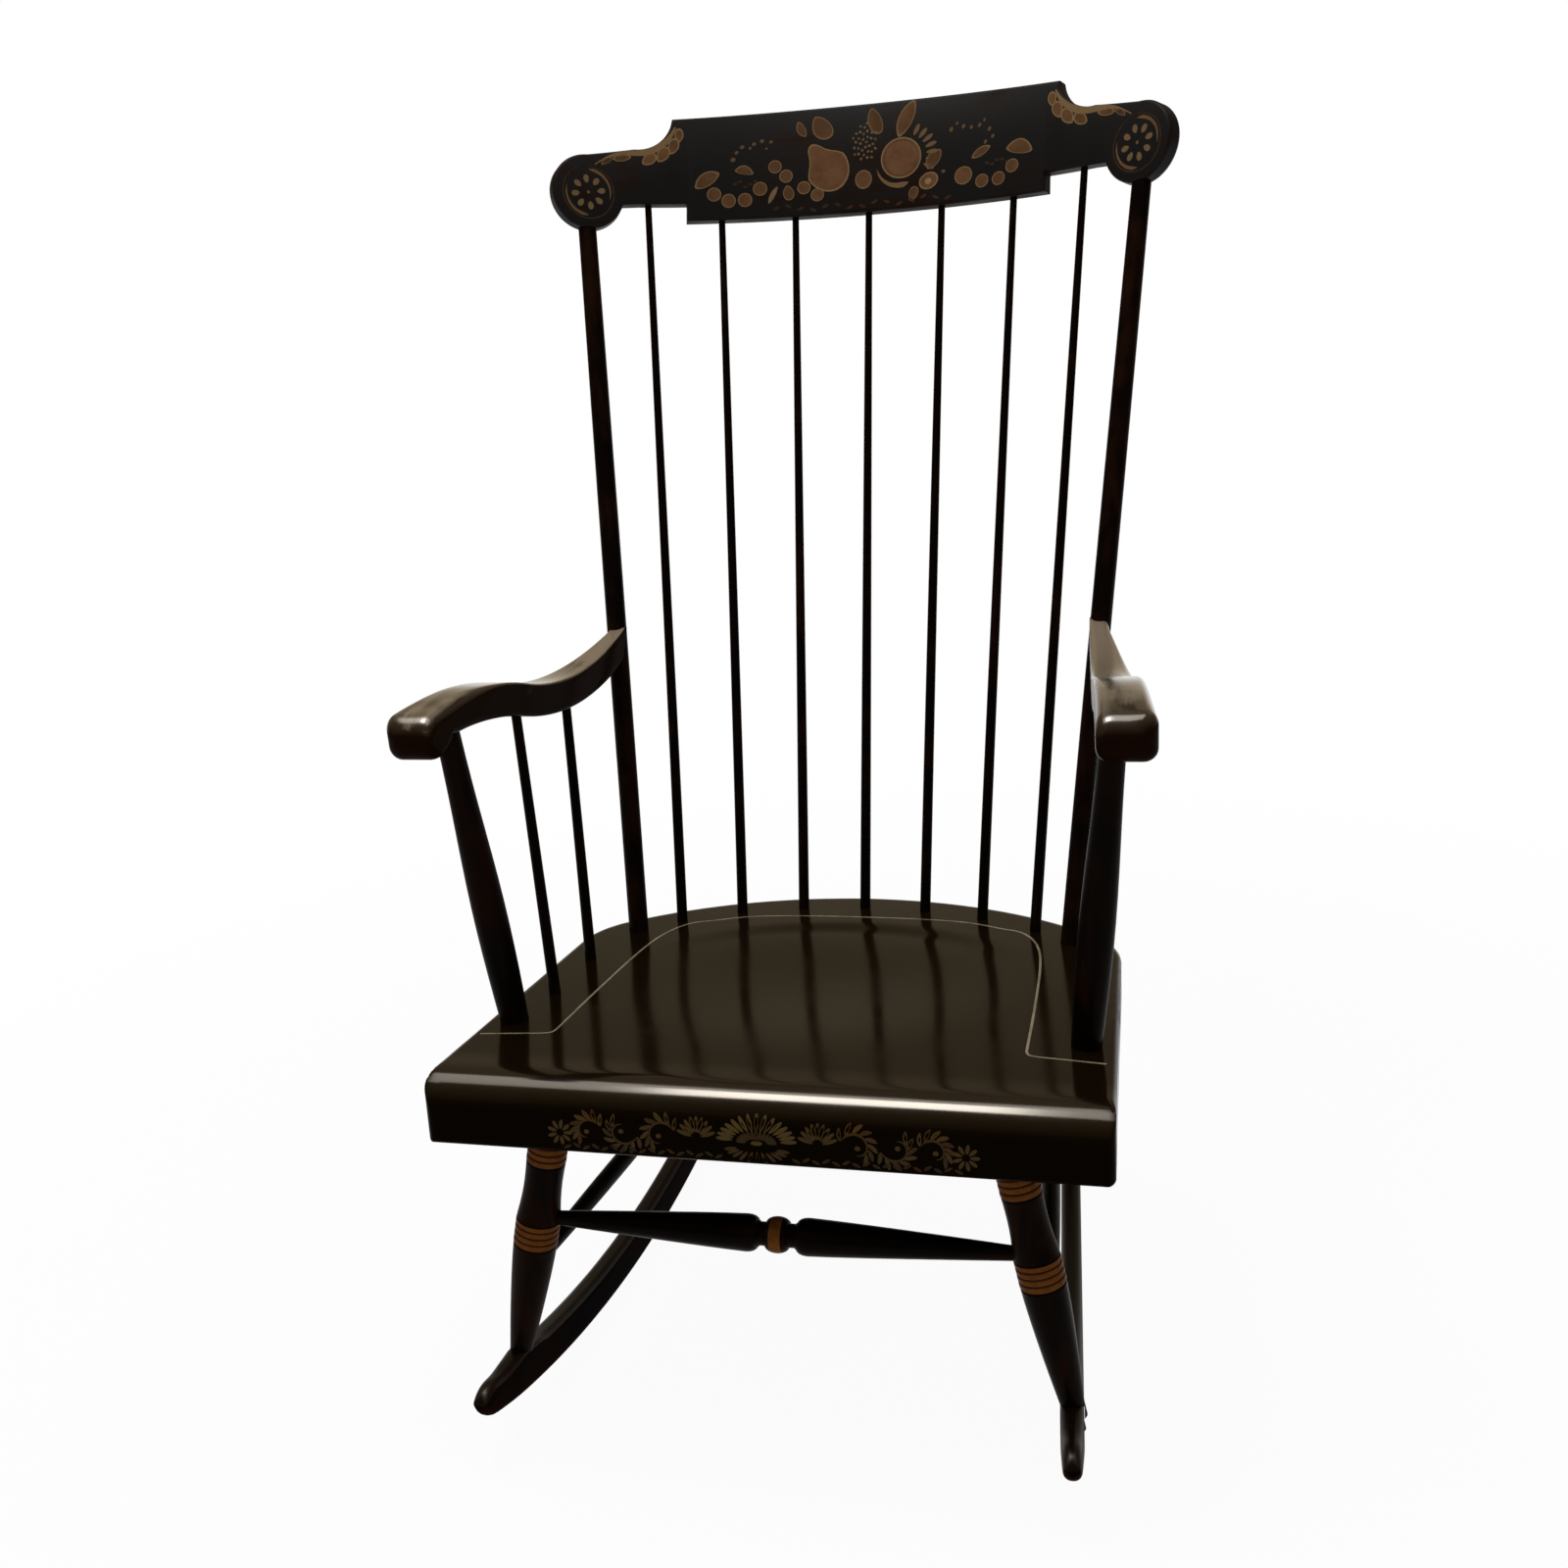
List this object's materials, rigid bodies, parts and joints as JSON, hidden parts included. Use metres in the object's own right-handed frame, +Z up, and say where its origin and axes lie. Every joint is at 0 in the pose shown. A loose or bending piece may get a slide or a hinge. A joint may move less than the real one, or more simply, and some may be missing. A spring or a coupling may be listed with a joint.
{
  "type": "rocking chair",
  "caption": "Wooden rocking chair with a plank seat, spindle back, bent crest rail, scrolled arms, turned legs and curved rockers.",
  "frame": {"origin": "on the floor, in the chair's plane of symmetry, at the middle of the chair's footprint", "axes": "+X to the sitter's left, +Y to the back of the chair, +Z up from the floor"},
  "size_m": [0.6037, 0.7437, 1.0656],
  "materials": {
    "seat_lacquer": "gloss black lacquer with gold stencils",
    "crest_lacquer": "satin black lacquer with gold stencils",
    "turned_lacquer": "satin black lacquer, brown where worn",
    "arm_finish": "worn black lacquer over brown wood",
    "leg_lacquer": "satin black lacquer with gold rings",
    "rocker_lacquer": "satin black lacquer, brown where worn",
    "pin_wood": "lacquered over",
    "screw_steel": "dull, darkened"
  },
  "bodies": {
    "root": {"seat": "seat_lacquer", "crest_rail": "crest_lacquer", "left_back_post": "turned_lacquer", "right_back_post": "turned_lacquer", "back_spindle_1": "turned_lacquer", "back_spindle_2": "turned_lacquer", "back_spindle_3": "turned_lacquer", "back_spindle_4": "turned_lacquer", "back_spindle_5": "turned_lacquer", "back_spindle_6": "turned_lacquer", "back_spindle_7": "turned_lacquer", "left_arm": "arm_finish", "right_arm": "arm_finish", "left_arm_post": "turned_lacquer", "right_arm_post": "turned_lacquer", "left_arm_spindle_front": "turned_lacquer", "left_arm_spindle_rear": "turned_lacquer", "right_arm_spindle_front": "turned_lacquer", "right_arm_spindle_rear": "turned_lacquer", "left_front_leg": "leg_lacquer", "right_front_leg": "leg_lacquer", "left_rear_leg": "leg_lacquer", "right_rear_leg": "leg_lacquer", "front_stretcher": "leg_lacquer", "rear_stretcher": "turned_lacquer", "left_side_stretcher": "turned_lacquer", "right_side_stretcher": "turned_lacquer", "left_rocker": "rocker_lacquer", "right_rocker": "rocker_lacquer", "rocker_pins": "pin_wood", "crest_pins": "pin_wood", "arm_screws": "screw_steel"}
  },
  "joints": []
}
